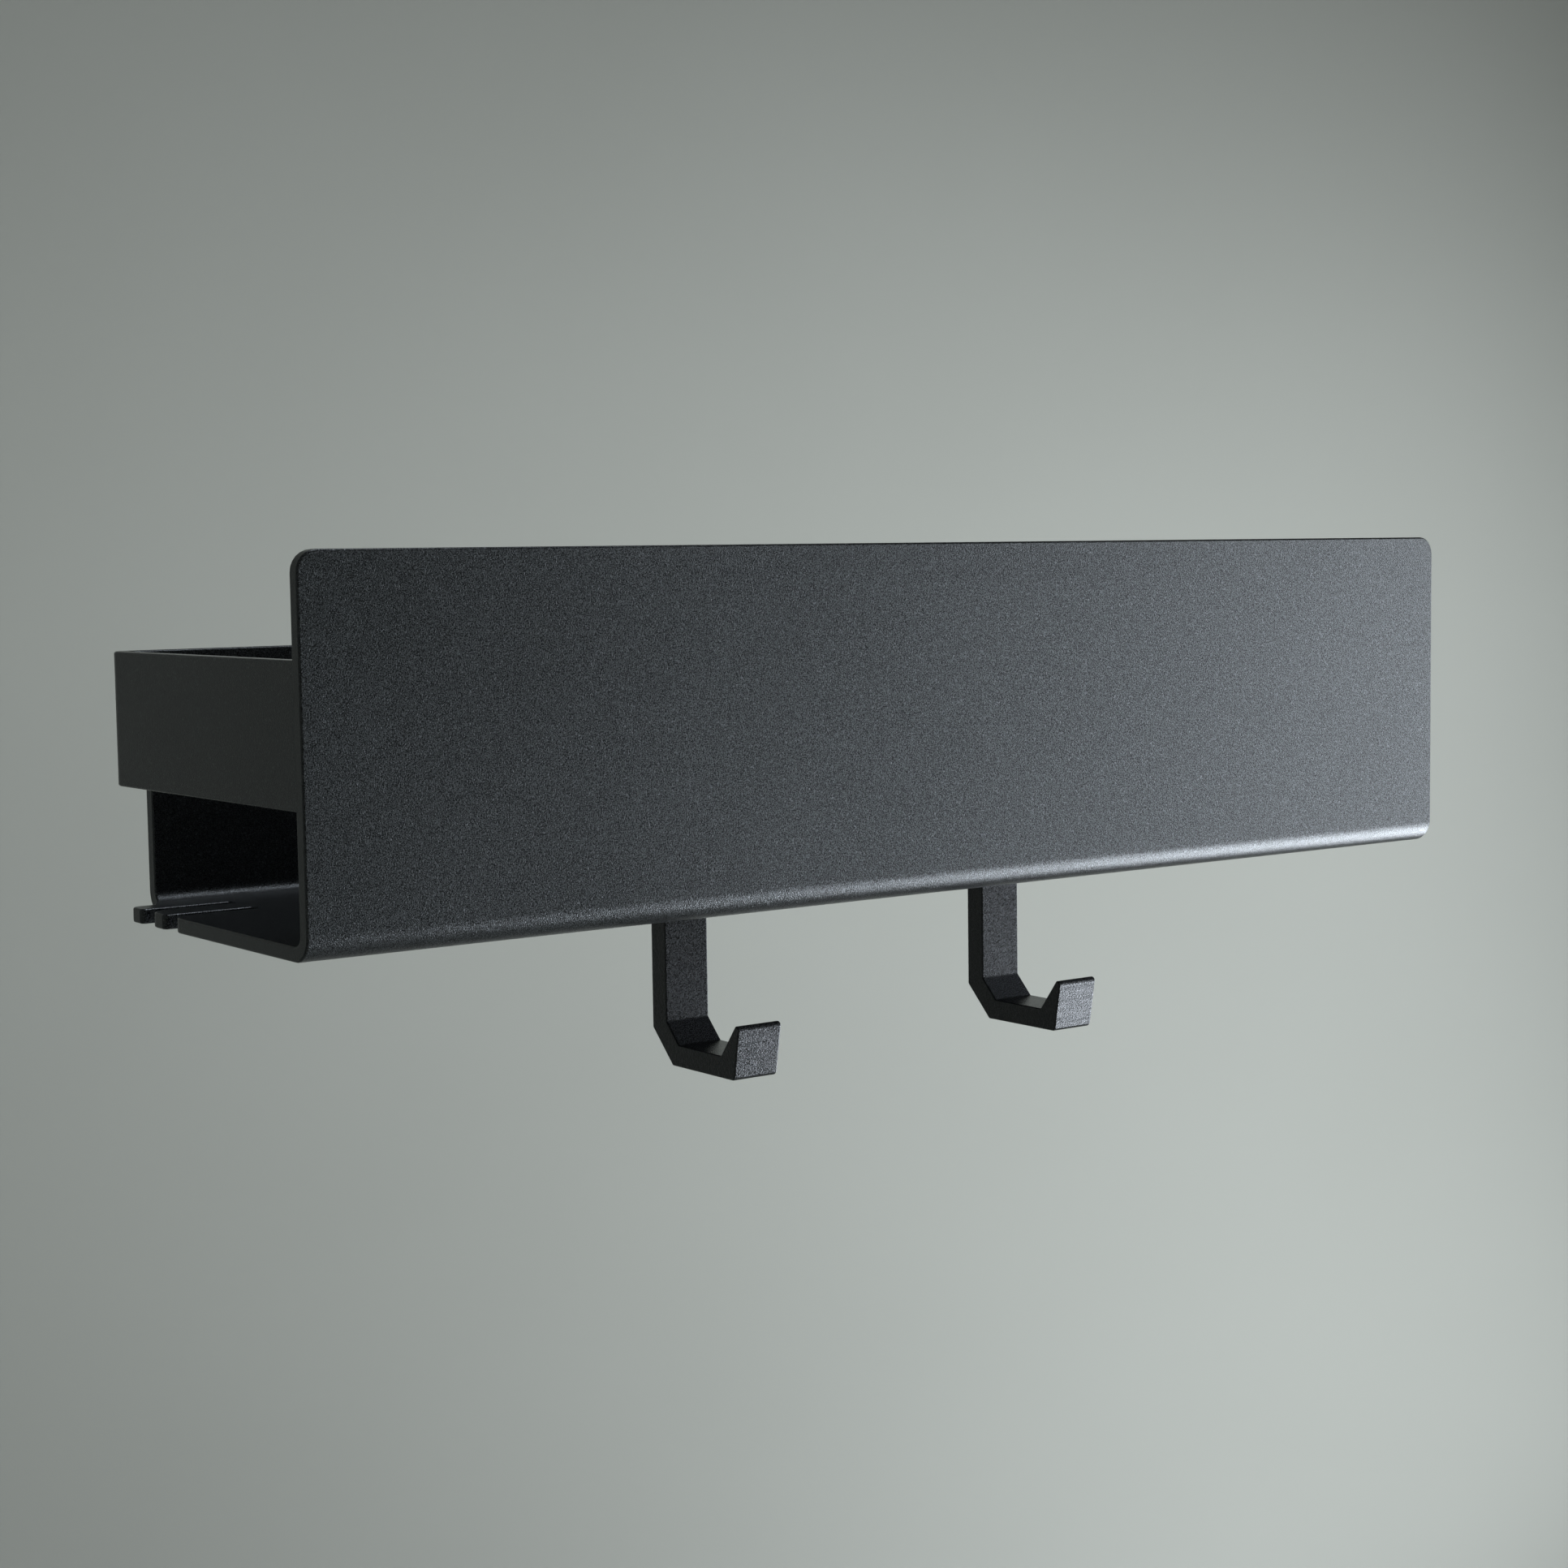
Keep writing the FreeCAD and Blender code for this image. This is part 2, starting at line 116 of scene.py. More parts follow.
square = rounded([(0, 0, 1), (9, 0, 1), (9, 9, 1), (0, 9, 1)])
print("a rounded square has", len(square), "points")

# %% Add points where an outline crosses given levels
def cut_at(loop, axis, levels, above=-np.inf):
    """The closed loop with a point added wherever one of its segments crosses a level.

    A segment from a to b crosses level L at the share t = (L - a) / (b - a), if t lies between
    0 and 1. New points are sorted in by segment number plus t. Only segments whose second
    coordinate is larger than `above` are cut."""
    ahead = np.roll(loop, -1, 0)
    run = ahead[:, axis] - loop[:, axis]
    with np.errstate(divide="ignore", invalid="ignore"):
        share = (levels[None] - loop[:, axis, None]) / run[:, None]
    crossed = (share > 1e-6) & (share < 1 - 1e-6)
    crossed &= (np.minimum(loop[:, 1], ahead[:, 1]) > above)[:, None]
    which, level = np.nonzero(crossed)
    part = share[which, level]
    added = loop[which] + (ahead[which] - loop[which]) * part[:, None]
    order = np.argsort(np.concatenate([np.arange(len(loop)), which + part]))
    return np.concatenate([loop, added])[order]


print("cut in thirds it has", len(cut_at(square, 1, np.array([3.0, 6.0]))), "points")

# %% [markdown]
# ## Carry a profile along an outline
# The rounded cut edge of a sheet, the wall of a hole, a washer and a screw are all the same kind
# of surface: a small profile that is carried along a path. The profile says how far a point lies
# out from the path and how high, and the path says where it is and which way out is.

# %% Carry a profile and number its faces
def carry(base, outward, profile, wrap=False):
    """A grid of points and normals: rows follow the profile and columns follow the path.

    Point = base + out * outward, at the profile's height. The normal leans from the outward
    direction to the vertical as the profile's own normal does."""
    out, high, lean_out, lean_up = (column[:, None] for column in profile.T)
    flat = base[None] + out[..., None] * outward[None]
    points = np.concatenate([flat, np.broadcast_to(high, out.shape)[..., None]
                             + np.zeros(flat.shape[:2] + (1,))], 2)
    normals = np.concatenate([lean_out[..., None] * outward[None],
                              lean_up[..., None] + np.zeros(flat.shape[:2] + (1,))], 2)
    rows, columns = points.shape[:2]
    number = np.arange(rows * columns).reshape(rows, columns)
    lower, upper = (number, np.roll(number, -1, 0)) if wrap else (number[:-1], number[1:])
    quads = np.stack([lower, np.roll(lower, -1, 1), np.roll(upper, -1, 1), upper], 2)
    return points.reshape(-1, 3), normals.reshape(-1, 3), quads.reshape(-1, 4), number


def circle(count):
    """Unit directions round a full turn."""
    angle = np.arange(count) * (2 * np.pi / count)
    return np.stack([np.cos(angle), np.sin(angle)], 1)


def edge_profile(half, edge):
    """A cut edge from the lower face to the upper one, both its corners rounded."""
    reach = -2 * edge
    return rounded([(reach, -half, 0), (0, -half, edge), (0, half, edge), (reach, half, 0)],
                   steps=4, closed=False)[1:-1]


print("the cut edge of the plate has", len(edge_profile(PLATE / 2, CUT_EDGE)), "rows")

# %% [markdown]
# ## Fill a face that has holes
# The big faces of a sheet are flat, so they need no grid: they are filled with triangles between
# the outline and the holes. Ties are extra lines across the face. The fill keeps them as edges,
# and they are where the sheet will bend.

# %% Fill between a ring, its holes and its ties
def fill(points, loops, ties, holes):
    """Triangles between numbered points, inside the first loop and outside every hole.

    loops and ties are lists of point numbers. A triangle is dropped when its centre is nearer
    to a hole's centre than the hole's radius."""
    edges = [pair for loop in loops for pair in zip(loop, np.roll(loop, -1))] + list(ties)
    used = np.unique(np.array(edges))
    lookup = np.searchsorted(used, np.array(edges))
    flat = [Vector(point[:2]) for point in points[used]]
    made = delaunay_2d_cdt(flat, lookup.tolist(), [], 1, 1e-6)
    source = np.array([used[origin[0]] for origin in made[3]])
    triangles = source[np.array(made[2])]
    centres = points[triangles][:, :, :2].mean(1)
    keep = np.ones(len(triangles), bool)
    for x, y, radius in holes:
        keep &= np.hypot(*(centres - (x, y)).T) > radius
    return triangles[keep]


whole = [np.arange(len(square))]
print("the filled square has", len(fill(square, whole, [], [])), "triangles")

# %% Build a sheet with rounded cut edges
HOLE_STEPS = 48


def sheet_metal(loop, half, edge, ties=(), holes=()):
    """Points, normals and faces of a flat slab: a carried rim, the walls of its holes and two
    filled faces.

    A hole is (x, y, profile), and its profile goes from the upper face to the lower."""
    points, normals, quads, number = carry(loop[:, :2], loop[:, 2:], edge_profile(half, edge))
    parts, faces = [(points, normals)], [quads]
    upper, lower, circles = [number[-1]], [number[0]], []
    total = len(points)
    for x, y, profile in holes:
        around = circle(HOLE_STEPS)
        centre = np.tile((x, y), (HOLE_STEPS, 1))
        points, normals, quads, number = carry(centre, around, profile)
        parts.append((points, normals))
        faces.append(quads + total)
        upper.append(number[0] + total)
        lower.append(number[-1] + total)
        circles.append((x, y, profile[:, 0].min()))
        total += len(points)
    points, normals = (np.concatenate(stack) for stack in zip(*parts))
    top = fill(points, upper, [tuple(upper[0][list(tie)]) for tie in ties], circles)
    bottom = fill(points, lower, [tuple(lower[0][list(tie)]) for tie in ties], circles)
    return points, normals, faces + [top, bottom[:, ::-1]]


sample_points, _, sample_faces = sheet_metal(square, 1.0, 0.2)
print("a small square sheet has", len(sample_points), "points")

# %% [markdown]
# ## Turn arrays into a piece
# The arrays go into a mesh as they are. A closed mesh whose faces point outwards has a positive
# volume, so the sign of the volume tells whether the faces must be turned round. The attribute
# `rim` is 1 on cut edges and 0 on the flat faces, and the coat reads it later.

# %% Make a mesh object from arrays
def volume(points, faces):
    """Six times the volume is the sum of the triple products of all its triangles."""
    halves = [group[:, corners] for group in faces
              for corners in ([[0, 1, 2]] if group.shape[1] == 3 else [[0, 1, 2], [0, 2, 3]])]
    triangles = np.concatenate(halves)
    a, b, c = (points[triangles[:, corner]] for corner in range(3))
    return (a * np.cross(b, c)).sum() / 6


print("the small sheet holds", volume(sample_points, sample_faces).round(1), "cubic mm")


def make_piece(name, shells, material, nodes, creases=None):
    """One object from closed shells in millimetres, each (points, normals, faces, rim)."""
    points, normals, faces, rims, total = [], [], [], [], 0
    for shell_points, shell_normals, shell_faces, rim in shells:
        inside_out = volume(shell_points, shell_faces) < 0
        for part in shell_faces:
            turned = part[:, ::-1] if inside_out else part
            faces += (turned + total).tolist()
        points.append(shell_points)
        normals.append(shell_normals)
        rims.append(rim)
        total += len(shell_points)
    points = (np.concatenate(points) + (0, 0, LIFT)) * MM
    mesh = bpy.data.meshes.new(name)
    mesh.from_pydata(points.tolist(), [], faces)
    mesh.polygons.foreach_set("use_smooth", np.ones(len(faces), bool))
    if creases is None:
        mesh.normals_split_custom_set_from_vertices(unit(np.concatenate(normals)).tolist())
    else:
        mesh.set_sharp_from_angle(angle=creases)
    attribute = mesh.attributes.new("rim", "FLOAT", "POINT")
    attribute.data.foreach_set("value", np.concatenate(rims).astype(np.float32))
    mesh.materials.append(material)
    piece = bpy.data.objects.new(name, mesh)
    bpy.context.scene.collection.objects.link(piece)
    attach(piece, "root")
    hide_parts(*nodes)
    print(name, "has", len(points), "points and", len(faces), "faces")
    return piece


# %% [markdown]
# ## The textured black coat
# The plate and hooks wear a fine textured powder coat. Powder melts into tiny hills about half
# a millimetre across, so the coat breaks a highlight into grain. An image could show this, but
# nodes stay sharp at any distance. Two noises and a cell pattern raise the hills, and the first
# noise also makes hilltops lighter than valleys, which shows as grain even where the light is
# even. The cell pattern also picks a few grains that are painted much lighter: painted glints.
# Cut edges are smoother, since powder lies thinner there. On faces that look along X the grain's
# tone is painted fainter, a painted copy of how the light there shows less grain.
# All patterns read Object coordinates, in metres, so their scales are large numbers.

# %% A small helper for shader nodes
def add_node(tree, kind, inputs=None, **settings):
    """A shader node with its settings and inputs; an input may be a value or another socket."""
    node = tree.nodes.new(kind)
    for key, value in settings.items():
        setattr(node, key, value)
    for key, value in (inputs or {}).items():
        if isinstance(value, bpy.types.NodeSocket):
            tree.links.new(value, node.inputs[key])
        else:
            node.inputs[key].default_value = value
    return node


def ramp(tree, factor, low, high, dark, light):
    """Map a factor between low and high onto numbers between dark and light."""
    node = add_node(tree, "ShaderNodeMapRange", {0: factor, 1: low, 2: high, 3: dark, 4: light})
    return node.outputs[0]


def multiply_add(tree, first, second, added):
    """first x second + added, where each is a number or a socket."""
    return add_node(tree, "ShaderNodeMath", {0: first, 1: second, 2: added},
                    operation="MULTIPLY_ADD").outputs[0]


def blend(tree, factor, first, second):
    """A mix of two colours; sockets 6 and 7 of the node are its colours A and B."""
    return add_node(tree, "ShaderNodeMix", {"Factor": factor, 6: first, 7: second},
                    data_type="RGBA").outputs[2]


def new_material(name):
    """A new material with its node tree, its shader and the Object coordinates."""
    material = bpy.data.materials.new(name)
    material.use_nodes = True
    tree = material.node_tree
    shader = tree.nodes["Principled BSDF"]
    where = add_node(tree, "ShaderNodeTexCoord").outputs["Object"]
    return material, tree, shader, where


print("shader helpers:", [f.__name__ for f in (add_node, ramp, multiply_add, blend)])

# %% Textured powder coat
SHEEN_SHARE = 0.6


def powder_coat(name, dark, light, grain, depth, painted_glint_gain, lines=0.0):
    """Black powder coat: hills of `grain` metres and of `depth` metres height.

    The coat's own reflection grows with its base colour, by the share SHEEN_SHARE, so light
    hilltops shine more than the dark valleys between them, whatever side the light is on.
    """
    material, tree, shader, where = new_material(name)
    rim = add_node(tree, "ShaderNodeAttribute", attribute_name="rim").outputs["Fac"]
    hills = add_node(tree, "ShaderNodeTexNoise", {"Vector": where, "Scale": 1 / grain,
                     "Detail": 2.0, "Roughness": 0.5}).outputs["Fac"]
    waves = add_node(tree, "ShaderNodeTexNoise", {"Vector": where, "Scale": 0.3 / grain,
                     "Detail": 1.0}).outputs["Fac"]
    cloud = add_node(tree, "ShaderNodeTexNoise", {"Vector": where, "Scale": 14.0,
                     "Detail": 3.0}).outputs["Fac"]
    cells = add_node(tree, "ShaderNodeTexVoronoi", {"Vector": where, "Scale": 0.75 / grain,
                     "Randomness": 0.9})
    # Painted glints: cells with the highest random value get a much lighter base colour, standing
    # in for sparkles of light on the grain.
    chance = add_node(tree, "ShaderNodeSeparateColor", {"Color": cells.outputs["Color"]})
    painted_glint_mask = ramp(tree, chance.outputs[0], 0.93, 1.0, 0.0, 1.0)
    facing = add_node(tree, "ShaderNodeSeparateXYZ",
                      {0: add_node(tree, "ShaderNodeNewGeometry").outputs["Normal"]})
    sideways = add_node(tree, "ShaderNodeMath", {0: facing.outputs[0]}, operation="ABSOLUTE")
    # Painted light: the grain's tone contrast fades on faces that look along X, copying how the
    # light there shows the grain less.
    share = ramp(tree, sideways.outputs[0], 0.3, 0.9, 1.0, 0.3)
    spread = ramp(tree, hills, 0.40, 0.60, -0.5, 0.5)
    mottle = multiply_add(tree, spread, share, 0.5)
    tint = blend(tree, mottle, dark, light)
    # The painted glint colour: the light tone times the glint gain.
    painted_glint_colour = tuple(painted_glint_gain * c for c in light[:3]) + (1.0,)
    tree.links.new(blend(tree, painted_glint_mask, tint, painted_glint_colour), shader.inputs["Base Color"])
    patchy = ramp(tree, cloud, 0.3, 0.7, 0.28, 0.33)
    tree.links.new(multiply_add(tree, rim, -0.08, patchy), shader.inputs["Roughness"])
    bumps = multiply_add(tree, waves, 0.2, hills)
    height = multiply_add(tree, cells.outputs["Distance"], -0.6, bumps)
    if lines:
        flat = add_node(tree, "ShaderNodeVectorMath", {0: where, 1: (0.02, 1, 1)},
                        operation="MULTIPLY")
        drawn = add_node(tree, "ShaderNodeTexNoise", {"Vector": flat.outputs[0],
                         "Scale": 700.0, "Detail": 1.0})
        height = multiply_add(tree, drawn.outputs["Fac"], lines, height)
    strength = ramp(tree, rim, 0.0, 1.0, 1.0, 0.45)
    if lines:
        place = add_node(tree, "ShaderNodeSeparateXYZ", {0: where})
        near_lip = ramp(tree, place.outputs[1], -0.085, -0.096, 0.6, 1.0)
        strength = add_node(tree, "ShaderNodeMath", {0: strength, 1: near_lip},
                            operation="MULTIPLY").outputs[0]
    bump = add_node(tree, "ShaderNodeBump", {"Height": height, "Strength": strength,
                    "Distance": depth})
    tree.links.new(bump.outputs[0], shader.inputs["Normal"])
    shader.inputs["Metallic"].default_value = SHEEN_SHARE
    return material


plate_coat = powder_coat("textured_black_coat", (0.001, 0.0015, 0.002, 1),
                         (0.079, 0.085, 0.089, 1), 0.00027, 0.00007, 1.4)
hook_coat = powder_coat("hook_black_coat", (0.003, 0.0035, 0.004, 1),
                        (0.074, 0.077, 0.082, 1), 0.00029, 0.00016, 0.8, 1.2)
print("coats:", plate_coat.name, hook_coat.name)

# %% [markdown]
# ## The blank and how it folds
# The whole shelf body is one flat blank. Its length coordinate `s` runs down the front panel,
# under the floor and up the back plate, and `u` runs across. Instead of modelling each bend,
# the blank is drawn flat, with its slots and tabs, and folded by a formula, as a press brake
# does. The middle of the plate keeps its length in a bend, so each bend uses up a quarter turn
# of the middle radius.

# %% Lengths along the blank
ARM = BEND_INSIDE + PLATE / 2
ARC = ARM * np.pi / 2
FRONT_BEND = PANEL_HEIGHT - BEND_OUTSIDE
FLOOR_START = FRONT_BEND + ARC
BACK_BEND = FLOOR_START + DEPTH - 2 * BEND_OUTSIDE
BACK_START = BACK_BEND + ARC
BACK_TOP = BACK_START + BACK_HEIGHT - BEND_OUTSIDE
WING_BEND = HALF - BEND_OUTSIDE
WING_START = WING_BEND + ARC
TAB_END = WING_START + DEPTH - PLATE - BEND_OUTSIDE + 2 * CUT_EDGE
print("the blank is", round(2 * TAB_END, 1), "x", round(BACK_TOP, 1), "mm before folding")


# %% Fold the blank
def fold(points, normals):
    """Carry points of the flat blank, and normals with them, to their folded place.

    In words: a walker goes along the centre lines of the bends and holds an arm as long as the
    middle radius plus the point's height above the middle of the plate. The walker stands still
    during a bend while the arm turns a quarter. Past the start of the back plate a second
    walker does the same across the blank, which folds the wings forward."""
    u, s, n = points.T
    knots = [0, FRONT_BEND, FLOOR_START, BACK_BEND, BACK_START, BACK_TOP]
    walk_y = np.interp(s, knots, [BEND_OUTSIDE - DEPTH] * 3 + [-BEND_OUTSIDE] * 3)
    walk_z = np.interp(s, knots, [PANEL_HEIGHT] + [BEND_OUTSIDE] * 4 + [BACK_HEIGHT])
    turn = np.interp(s, knots, np.array([0, 0, 1, 1, 2, 2]) * np.pi / 2)
    arm = ARM + n
    zero, one = np.zeros_like(s), np.ones_like(s)
    place = np.stack([u, walk_y - arm * np.cos(turn), walk_z - arm * np.sin(turn)], 1)
    across = np.stack([one, zero, zero], 1)
    along = np.stack([zero, np.sin(turn), -np.cos(turn)], 1)
    out = np.stack([zero, -np.cos(turn), -np.sin(turn)], 1)
    knots = [0, WING_BEND, WING_START, TAB_END]
    side, reach = np.sign(u), abs(u)
    walk_x = np.interp(reach, knots, [0, WING_BEND, WING_BEND, WING_BEND])
    walk_y = -BEND_OUTSIDE - np.clip(reach - WING_START, 0, None)
    turn = np.interp(reach, knots, np.array([0, 0, 1, 1]) * np.pi / 2)
    wing = (s > BACK_START)[:, None]
    place = np.where(wing, np.stack([side * (walk_x + arm * np.sin(turn)),
                                     walk_y + arm * np.cos(turn), place[:, 2]], 1), place)
    across = np.where(wing, np.stack([np.cos(turn), -side * np.sin(turn), zero], 1), across)
    out = np.where(wing, np.stack([side * np.sin(turn), np.cos(turn), zero], 1), out)
    turned = normals[:, :1] * across + normals[:, 1:2] * along + normals[:, 2:] * out
    return place, turned


corner_test = fold(np.array([[0.0, 0, 2], [0, BACK_TOP, 2]]), np.zeros((2, 3)))[0]
print("panel top and back top after folding:", corner_test.round(2).tolist())

# %% [markdown]
# ## The outline of the blank
# One half is listed corner by corner and mirrored for the other. Going along the left edge:
# the front panel's corner, two cord slots in the floor with a wide lead-in on their front side,
# the last finger, a slant into the narrower back plate, a relief notch and the wing's tab.

# %% Corners of the left half: u, s and radius
def on_floor(depth):
    """The length s of a spot on the floor that lies `depth` in front of the wall."""
    return FLOOR_START + DEPTH - BEND_OUTSIDE - depth


def on_back(height):
    """The length s of a spot on the back plate, `height` above the floor's underside."""
    return BACK_START + height - BEND_OUTSIDE


SLOT_END, SLOT_WIDTH, LEAD_IN, FINGER_CORNER = HALF - 25.0, 4.0, 5.5, 1.5
SLOT_CENTRES = (34.6, 20.0)
PANEL_CORNER, FINGER_TAIL, FINGER_REAR = 5.5, 2.5, 10.5
BACK_SIDE, FLARE, RELIEF, NOTCH = HALF - 10.0, 3.1, 2.0, 1.0
SLIM = CUT_EDGE + 0.05
left = [(-HALF, 0, PANEL_CORNER)]
for slot_centre in SLOT_CENTRES:
    front, rear = (on_floor(slot_centre + off) for off in (SLOT_WIDTH / 2, -SLOT_WIDTH / 2))
    left += [(-HALF, front, LEAD_IN), (-SLOT_END, front, 0.25), (-SLOT_END, rear, 0.25),
             (-HALF, rear, FINGER_CORNER)]
flare_end = BACK_BEND + ARM * math.asin((BEND_OUTSIDE - PLATE) / ARM)
left += [
    (-HALF, on_floor(FINGER_REAR), FINGER_TAIL),
    (-BACK_SIDE - FLARE, on_floor(FINGER_REAR), 0.4),
    (-BACK_SIDE, flare_end, 2.0), (-BACK_SIDE, on_back(WING_BOTTOM - NOTCH), SLIM),
    (RELIEF - BACK_SIDE, on_back(WING_BOTTOM - NOTCH), 0.2),
    (RELIEF - BACK_SIDE, on_back(WING_BOTTOM), 0.2),
    (-TAB_END, on_back(WING_BOTTOM), SLIM), (-TAB_END, BACK_TOP, SLIM),
]
right = [(-u, s, radius) for u, s, radius in left[::-1]]
blank = rounded((left + right)[::-1])
STEPS = np.linspace(0, 1, 15)
blank = cut_at(blank, 1, np.concatenate([FRONT_BEND + ARC * STEPS, BACK_BEND + ARC * STEPS]))
wing_levels = WING_BEND + ARC * STEPS
blank = cut_at(blank, 0, np.concatenate([-wing_levels, wing_levels]), above=BACK_START + 1)
print("the outline has", len(blank), "points")


# %% Ties: where the blank's faces will bend
def tie_across(first, second, key):
    """Pair two sets of points in the order of a coordinate."""
    first, second = (group[np.argsort(key[group])] for group in (first, second))
    assert len(first) == len(second)
    return list(zip(first.tolist(), second.tolist()))


u, s = blank[:, 0], blank[:, 1]
SLIP = 1e-4
in_bend = ((s > FRONT_BEND - SLIP) & (s < FLOOR_START + SLIP)
           | (s > BACK_BEND - SLIP) & (s < BACK_START + SLIP))
ties = tie_across(np.nonzero(in_bend & (u < 0))[0], np.nonzero(in_bend & (u > 0))[0], s)
for side in (-1, 1):
    turning = (side * u > WING_BEND - SLIP) & (side * u < WING_START + SLIP)
    turning &= s > BACK_START + 1
    middle = on_back((WING_BOTTOM + BACK_HEIGHT) / 2)
    ties += tie_across(np.nonzero(turning & (s < middle))[0],
                       np.nonzero(turning & (s > middle))[0], abs(u))
print("ties across the bends:", len(ties))


# %% [markdown]
# ## Holes
# The back plate has two round holes for wall screws. The floor has four countersunk holes: the
# plate's inner side is its lower side in the flat blank, so that is where the cone opens.

# %% Profiles of the holes and the folded plate
def plain_hole(radius, half, edge):
    """The wall of a drilled hole from the upper face to the lower, both corners rounded."""
    far = radius + 2 * edge
    return rounded([(far, half, 0), (radius, half, edge), (radius, -half, edge), (far, -half, 0)],
                   steps=4, closed=False)[1:-1]


def sunk_hole(radius, wide, half, edge):
    """A drilled hole that opens at 45 degrees to the radius `wide` on the lower face."""
    cone = wide - radius
    return rounded([(radius + 2 * edge, half, 0), (radius, half, edge),
                    (radius, cone - half, edge), (wide, -half, edge),
                    (wide + 2 * edge, -half, 0)], steps=4, closed=False)[1:-1]


HOOK_CENTRES = [float(np.mean([corner[0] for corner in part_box(side + "_hook")])) / MM
                for side in ("left", "right")]
UPRIGHT_REAR, FIRST_SCREW, SCREW_PITCH = 59.0, 7.5, 11.0
SCREW_DEPTHS = (UPRIGHT_REAR - FIRST_SCREW, UPRIGHT_REAR - FIRST_SCREW - SCREW_PITCH)
WALL_HOLE, WALL_HOLE_HEIGHT, WALL_HOLE_SIDE = 3.0, 54.0, 150.0
SCREW_HOLE, SCREW_SINK = 2.25, 4.2
holes = [(x, on_back(WALL_HOLE_HEIGHT), plain_hole(WALL_HOLE, PLATE / 2, 0.4))
         for x in (-WALL_HOLE_SIDE, WALL_HOLE_SIDE)]
holes += [(x, on_floor(depth), sunk_hole(SCREW_HOLE, SCREW_SINK, PLATE / 2, 0.25))
          for x in HOOK_CENTRES for depth in SCREW_DEPTHS]
points, normals, faces = sheet_metal(blank, PLATE / 2, CUT_EDGE, ties, holes)
rim = np.hypot(normals[:, 0], normals[:, 1])
place, turned = fold(points, normals)
make_piece("folded_shelf", [(place, turned, faces, rim)], plate_coat,
           ["shelf_body"])

# %% [markdown]
# ## Hooks
# Each hook is a faceted J cut from a thick section: an upright, a slanted heel, a level bar and
# a wedge-shaped lip. A foot behind the upright carries two screws. The J is an outline seen from
# the side, and the foot an outline seen from above. Both get the same rounded cut edge.

# %% The side outline of a hook: depth, height and radius
UPRIGHT, DROP, BAR = 7.0, 47.3, 6.1
UPRIGHT_FRONT = UPRIGHT_REAR + UPRIGHT
HEEL_OUT, HEEL_IN = 9.7, 6.0
LIP_FOOT = UPRIGHT_FRONT + 32.6
LIP_FRONT, LIP_HEIGHT = LIP_FOOT + 2.5, 15.2
HOOK_WIDTH, HOOK_EDGE = 14.5, 0.45
side_view = rounded([
    (-UPRIGHT_FRONT, 0, 0.55), (-UPRIGHT_FRONT, HEEL_IN + BAR - DROP, 0.8),
    (-UPRIGHT_FRONT - HEEL_IN, BAR - DROP, 0.8), (6.3 - LIP_FOOT, BAR - DROP, 0.6),
    (1.8 - LIP_FRONT, LIP_HEIGHT - DROP, 0.52), (-LIP_FRONT, LIP_HEIGHT - DROP, 1.15),
    (-LIP_FOOT, 0.8 - DROP, 0.6), (0.8 - LIP_FOOT, -DROP, 0.6),
    (-UPRIGHT_REAR - HEEL_OUT, -DROP, 0.8), (-UPRIGHT_REAR, HEEL_OUT - DROP, 0.8),
    (-UPRIGHT_REAR, 0, 0.55),
])
print("the side of a hook has", len(side_view), "points")

# %% Make both hooks
FOOT, FOOT_LENGTH, BURIED = 4.0, 24.0, 2.0


def stand_up(points, normals, x):
    """A slab drawn as depth, height and thickness, stood up across the shelf at x."""
    return points[:, [2, 0, 1]] + (x, 0, 0), normals[:, [2, 0, 1]]


for name, x in zip(("left_hook", "right_hook"), HOOK_CENTRES):
    points, normals, faces = sheet_metal(side_view, HOOK_WIDTH / 2, HOOK_EDGE)
    shells = [(*stand_up(points, normals, x), faces, np.hypot(normals[:, 0], normals[:, 1]))]
    half, rear = HOOK_WIDTH / 2, FOOT_LENGTH - UPRIGHT_REAR
    front = -UPRIGHT_REAR - BURIED
    foot = rounded([(x - half, front, 0.55), (x + half, front, 0.55), (x + half, rear, 1.5),
                    (x - half, rear, 1.5)])
    holes = [(x, -depth, plain_hole(SCREW_HOLE, FOOT / 2, 0.2)) for depth in SCREW_DEPTHS]
    points, normals, faces = sheet_metal(foot, FOOT / 2, HOOK_EDGE, holes=holes)
    shells.append((points - (0, 0, FOOT / 2), normals, faces, np.hypot(*normals[:, :2].T)))
    make_piece("faceted_" + name, shells, hook_coat, [name])

# %% [markdown]
# ## Blackened steel
# The small fasteners are steel with a thin black oxide. A plain dark metal would do from afar,
# but a real batch is stained and rubbed by handling. So one noise changes both the tint and the
# gloss, and a finer one adds small scratches.

# %% Blackened steel
def blackened_steel(name):
    """Dark metal whose stains change its tint and roughness together."""
    material, tree, shader, where = new_material(name)
    shader.inputs["Metallic"].default_value = 1.0
    stain = add_node(tree, "ShaderNodeTexNoise", {"Vector": where, "Scale": 900.0, "Detail": 4.0,
                     "Roughness": 0.65}).outputs["Fac"]
    scratch = add_node(tree, "ShaderNodeTexNoise", {"Vector": where, "Scale": 5200.0,
                       "Detail": 2.0}).outputs["Fac"]
    tint = blend(tree, ramp(tree, stain, 0.35, 0.7, 0.0, 1.0), (0.045, 0.046, 0.050, 1),
                 (0.12, 0.11, 0.10, 1))
    tree.links.new(tint, shader.inputs["Base Color"])
    tree.links.new(ramp(tree, stain, 0.3, 0.7, 0.26, 0.44), shader.inputs["Roughness"])
    bump = add_node(tree, "ShaderNodeBump", {"Height": scratch, "Strength": 0.5,
                    "Distance": 0.00002})
    tree.links.new(bump.outputs[0], shader.inputs["Normal"])
    return material


steel = blackened_steel("blackened_steel")
print("finish of the fasteners:", steel.name)

# %% [markdown]
# ## Screws, washers and nuts
# These are turned parts, so each is a profile carried round a circle. A hexagon is a circle
# whose radius changes with the angle: flat width / 2 divided by the cosine of the angle to the
# nearest flat. A thread is a wave that climbs by one pitch in a full turn.

